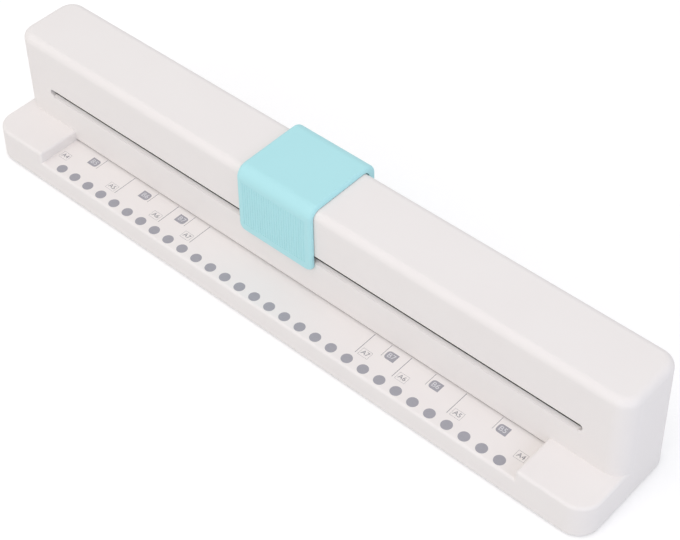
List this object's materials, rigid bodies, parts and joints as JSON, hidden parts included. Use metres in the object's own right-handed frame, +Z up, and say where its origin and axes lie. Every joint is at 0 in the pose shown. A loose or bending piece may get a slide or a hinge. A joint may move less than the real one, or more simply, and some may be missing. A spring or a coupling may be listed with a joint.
{
  "type": "hole punch",
  "caption": "Long desk punch for loose-leaf paper: a sliding grip on a tall hollow body pushes a row of sprung pins down, with a low paper ledge in front.",
  "frame": {"origin": "under the middle of the whole punch, on the desk", "axes": "+X along the body to the right seen from the paper side, +Y from the paper side to the back, +Z up"},
  "size_m": [0.3702, 0.066, 0.0667],
  "materials": {
    "shell": "satin moulded",
    "plate": "fine spark texture",
    "grip": "satin moulded",
    "rubber": "matte",
    "screws": "zinc plated",
    "sheet_steel": "zinc plated",
    "spring_steel": "drawn wire",
    "turned_steel": "turned"
  },
  "bodies": {
    "root": {"body_shell": "shell", "bottom_plate": "plate", "rubber_feet": "rubber", "bottom_screws": "screws", "door_hinge_pins": "screws", "die_plate": "sheet_steel", "paper_stop": "sheet_steel", "guide_channel": "sheet_steel", "return_springs": "spring_steel", "upper_rail": "sheet_steel", "end_bracket_left": "sheet_steel", "end_bracket_right": "sheet_steel", "buffer_left": "rubber", "buffer_right": "rubber", "frame_screws": "screws", "rail_screws": "screws"},
    "slider": {"grip": "grip", "carriage_side_front": "sheet_steel", "carriage_side_rear": "sheet_steel", "press_roller_axle": "turned_steel", "rail_wheel_axles": "turned_steel", "spacer_rivets": "turned_steel"},
    "press_roller": {"press_roller": "turned_steel"},
    "rail_wheel_left": {"rail_wheel_left": "turned_steel"},
    "rail_wheel_right": {"rail_wheel_right": "turned_steel"},
    "chip_door": {"chip_door": "plate"},
    "punch_pin_01": {"punch_pin_01": "turned_steel"},
    "punch_pin_02": {"punch_pin_02": "turned_steel"},
    "punch_pin_03": {"punch_pin_03": "turned_steel"},
    "punch_pin_04": {"punch_pin_04": "turned_steel"},
    "punch_pin_05": {"punch_pin_05": "turned_steel"},
    "punch_pin_06": {"punch_pin_06": "turned_steel"},
    "punch_pin_07": {"punch_pin_07": "turned_steel"},
    "punch_pin_08": {"punch_pin_08": "turned_steel"},
    "punch_pin_09": {"punch_pin_09": "turned_steel"},
    "punch_pin_10": {"punch_pin_10": "turned_steel"},
    "punch_pin_11": {"punch_pin_11": "turned_steel"},
    "punch_pin_12": {"punch_pin_12": "turned_steel"},
    "punch_pin_13": {"punch_pin_13": "turned_steel"},
    "punch_pin_14": {"punch_pin_14": "turned_steel"},
    "punch_pin_15": {"punch_pin_15": "turned_steel"},
    "punch_pin_16": {"punch_pin_16": "turned_steel"},
    "punch_pin_17": {"punch_pin_17": "turned_steel"},
    "punch_pin_18": {"punch_pin_18": "turned_steel"},
    "punch_pin_19": {"punch_pin_19": "turned_steel"},
    "punch_pin_20": {"punch_pin_20": "turned_steel"},
    "punch_pin_21": {"punch_pin_21": "turned_steel"},
    "punch_pin_22": {"punch_pin_22": "turned_steel"},
    "punch_pin_23": {"punch_pin_23": "turned_steel"},
    "punch_pin_24": {"punch_pin_24": "turned_steel"},
    "punch_pin_25": {"punch_pin_25": "turned_steel"},
    "punch_pin_26": {"punch_pin_26": "turned_steel"},
    "punch_pin_27": {"punch_pin_27": "turned_steel"},
    "punch_pin_28": {"punch_pin_28": "turned_steel"},
    "punch_pin_29": {"punch_pin_29": "turned_steel"},
    "punch_pin_30": {"punch_pin_30": "turned_steel"}
  },
  "joints": [
    {"name": "grip_slide", "type": "slide", "parent": "root", "child": "slider", "axis": [1, 0, 0], "range_m": [-0.1418, 0.1552]},
    {"name": "press_roller_spin", "type": "hinge", "parent": "slider", "child": "press_roller", "pos_m": [-0.0067, 0.0087, 0.0443], "axis": [0, 1, 0], "continuous": true},
    {"name": "rail_wheel_left_spin", "type": "hinge", "parent": "slider", "child": "rail_wheel_left", "pos_m": [-0.0199, 0.0087, 0.0527], "axis": [0, 1, 0], "continuous": true},
    {"name": "rail_wheel_right_spin", "type": "hinge", "parent": "slider", "child": "rail_wheel_right", "pos_m": [0.0065, 0.0087, 0.0527], "axis": [0, 1, 0], "continuous": true},
    {"name": "chip_door_swing", "type": "hinge", "parent": "root", "child": "chip_door", "pos_m": [0, 0.0147, 0.0026], "axis": [1, 0, 0], "range_deg": [0, 95]},
    {"name": "punch_pin_01_press", "type": "slide", "parent": "root", "child": "punch_pin_01", "axis": [0, 0, -1], "range_m": [0, 0.004], "stiffness_N_per_m": 800, "springref_m": -0.003, "deforming": ["return_springs"]},
    {"name": "punch_pin_02_press", "type": "slide", "parent": "root", "child": "punch_pin_02", "axis": [0, 0, -1], "range_m": [0, 0.004], "stiffness_N_per_m": 800, "springref_m": -0.003, "deforming": ["return_springs"]},
    {"name": "punch_pin_03_press", "type": "slide", "parent": "root", "child": "punch_pin_03", "axis": [0, 0, -1], "range_m": [0, 0.004], "stiffness_N_per_m": 800, "springref_m": -0.003, "deforming": ["return_springs"]},
    {"name": "punch_pin_04_press", "type": "slide", "parent": "root", "child": "punch_pin_04", "axis": [0, 0, -1], "range_m": [0, 0.004], "stiffness_N_per_m": 800, "springref_m": -0.003, "deforming": ["return_springs"]},
    {"name": "punch_pin_05_press", "type": "slide", "parent": "root", "child": "punch_pin_05", "axis": [0, 0, -1], "range_m": [0, 0.004], "stiffness_N_per_m": 800, "springref_m": -0.003, "deforming": ["return_springs"]},
    {"name": "punch_pin_06_press", "type": "slide", "parent": "root", "child": "punch_pin_06", "axis": [0, 0, -1], "range_m": [0, 0.004], "stiffness_N_per_m": 800, "springref_m": -0.003, "deforming": ["return_springs"]},
    {"name": "punch_pin_07_press", "type": "slide", "parent": "root", "child": "punch_pin_07", "axis": [0, 0, -1], "range_m": [0, 0.004], "stiffness_N_per_m": 800, "springref_m": -0.003, "deforming": ["return_springs"]},
    {"name": "punch_pin_08_press", "type": "slide", "parent": "root", "child": "punch_pin_08", "axis": [0, 0, -1], "range_m": [0, 0.004], "stiffness_N_per_m": 800, "springref_m": -0.003, "deforming": ["return_springs"]},
    {"name": "punch_pin_09_press", "type": "slide", "parent": "root", "child": "punch_pin_09", "axis": [0, 0, -1], "range_m": [0, 0.004], "stiffness_N_per_m": 800, "springref_m": -0.003, "deforming": ["return_springs"]},
    {"name": "punch_pin_10_press", "type": "slide", "parent": "root", "child": "punch_pin_10", "axis": [0, 0, -1], "range_m": [0, 0.004], "stiffness_N_per_m": 800, "springref_m": -0.003, "deforming": ["return_springs"]},
    {"name": "punch_pin_11_press", "type": "slide", "parent": "root", "child": "punch_pin_11", "axis": [0, 0, -1], "range_m": [0, 0.004], "stiffness_N_per_m": 800, "springref_m": -0.003, "deforming": ["return_springs"]},
    {"name": "punch_pin_12_press", "type": "slide", "parent": "root", "child": "punch_pin_12", "axis": [0, 0, -1], "range_m": [0, 0.004], "stiffness_N_per_m": 800, "springref_m": -0.003, "deforming": ["return_springs"]},
    {"name": "punch_pin_13_press", "type": "slide", "parent": "root", "child": "punch_pin_13", "axis": [0, 0, -1], "range_m": [0, 0.004], "stiffness_N_per_m": 800, "springref_m": -0.003, "deforming": ["return_springs"]},
    {"name": "punch_pin_14_press", "type": "slide", "parent": "root", "child": "punch_pin_14", "axis": [0, 0, -1], "range_m": [0, 0.004], "stiffness_N_per_m": 800, "springref_m": -0.003, "deforming": ["return_springs"]},
    {"name": "punch_pin_15_press", "type": "slide", "parent": "root", "child": "punch_pin_15", "axis": [0, 0, -1], "range_m": [0, 0.004], "stiffness_N_per_m": 800, "springref_m": -0.003, "deforming": ["return_springs"]},
    {"name": "punch_pin_16_press", "type": "slide", "parent": "root", "child": "punch_pin_16", "axis": [0, 0, -1], "range_m": [0, 0.004], "stiffness_N_per_m": 800, "springref_m": -0.003, "deforming": ["return_springs"]},
    {"name": "punch_pin_17_press", "type": "slide", "parent": "root", "child": "punch_pin_17", "axis": [0, 0, -1], "range_m": [0, 0.004], "stiffness_N_per_m": 800, "springref_m": -0.003, "deforming": ["return_springs"]},
    {"name": "punch_pin_18_press", "type": "slide", "parent": "root", "child": "punch_pin_18", "axis": [0, 0, -1], "range_m": [0, 0.004], "stiffness_N_per_m": 800, "springref_m": -0.003, "deforming": ["return_springs"]},
    {"name": "punch_pin_19_press", "type": "slide", "parent": "root", "child": "punch_pin_19", "axis": [0, 0, -1], "range_m": [0, 0.004], "stiffness_N_per_m": 800, "springref_m": -0.003, "deforming": ["return_springs"]},
    {"name": "punch_pin_20_press", "type": "slide", "parent": "root", "child": "punch_pin_20", "axis": [0, 0, -1], "range_m": [0, 0.004], "stiffness_N_per_m": 800, "springref_m": -0.003, "deforming": ["return_springs"]},
    {"name": "punch_pin_21_press", "type": "slide", "parent": "root", "child": "punch_pin_21", "axis": [0, 0, -1], "range_m": [0, 0.004], "stiffness_N_per_m": 800, "springref_m": -0.003, "deforming": ["return_springs"]},
    {"name": "punch_pin_22_press", "type": "slide", "parent": "root", "child": "punch_pin_22", "axis": [0, 0, -1], "range_m": [0, 0.004], "stiffness_N_per_m": 800, "springref_m": -0.003, "deforming": ["return_springs"]},
    {"name": "punch_pin_23_press", "type": "slide", "parent": "root", "child": "punch_pin_23", "axis": [0, 0, -1], "range_m": [0, 0.004], "stiffness_N_per_m": 800, "springref_m": -0.003, "deforming": ["return_springs"]},
    {"name": "punch_pin_24_press", "type": "slide", "parent": "root", "child": "punch_pin_24", "axis": [0, 0, -1], "range_m": [0, 0.004], "stiffness_N_per_m": 800, "springref_m": -0.003, "deforming": ["return_springs"]},
    {"name": "punch_pin_25_press", "type": "slide", "parent": "root", "child": "punch_pin_25", "axis": [0, 0, -1], "range_m": [0, 0.004], "stiffness_N_per_m": 800, "springref_m": -0.003, "deforming": ["return_springs"]},
    {"name": "punch_pin_26_press", "type": "slide", "parent": "root", "child": "punch_pin_26", "axis": [0, 0, -1], "range_m": [0, 0.004], "stiffness_N_per_m": 800, "springref_m": -0.003, "deforming": ["return_springs"]},
    {"name": "punch_pin_27_press", "type": "slide", "parent": "root", "child": "punch_pin_27", "axis": [0, 0, -1], "range_m": [0, 0.004], "stiffness_N_per_m": 800, "springref_m": -0.003, "deforming": ["return_springs"]},
    {"name": "punch_pin_28_press", "type": "slide", "parent": "root", "child": "punch_pin_28", "axis": [0, 0, -1], "range_m": [0, 0.004], "stiffness_N_per_m": 800, "springref_m": -0.003, "deforming": ["return_springs"]},
    {"name": "punch_pin_29_press", "type": "slide", "parent": "root", "child": "punch_pin_29", "axis": [0, 0, -1], "range_m": [0, 0.004], "stiffness_N_per_m": 800, "springref_m": -0.003, "deforming": ["return_springs"]},
    {"name": "punch_pin_30_press", "type": "slide", "parent": "root", "child": "punch_pin_30", "axis": [0, 0, -1], "range_m": [0, 0.004], "stiffness_N_per_m": 800, "springref_m": -0.003, "deforming": ["return_springs"]}
  ],
  "couplings": [
    {"joint": "press_roller_spin", "follows": "grip_slide", "rad_per_m": 100},
    {"joint": "rail_wheel_left_spin", "follows": "grip_slide", "rad_per_m": -200},
    {"joint": "rail_wheel_right_spin", "follows": "grip_slide", "rad_per_m": -200}
  ]
}
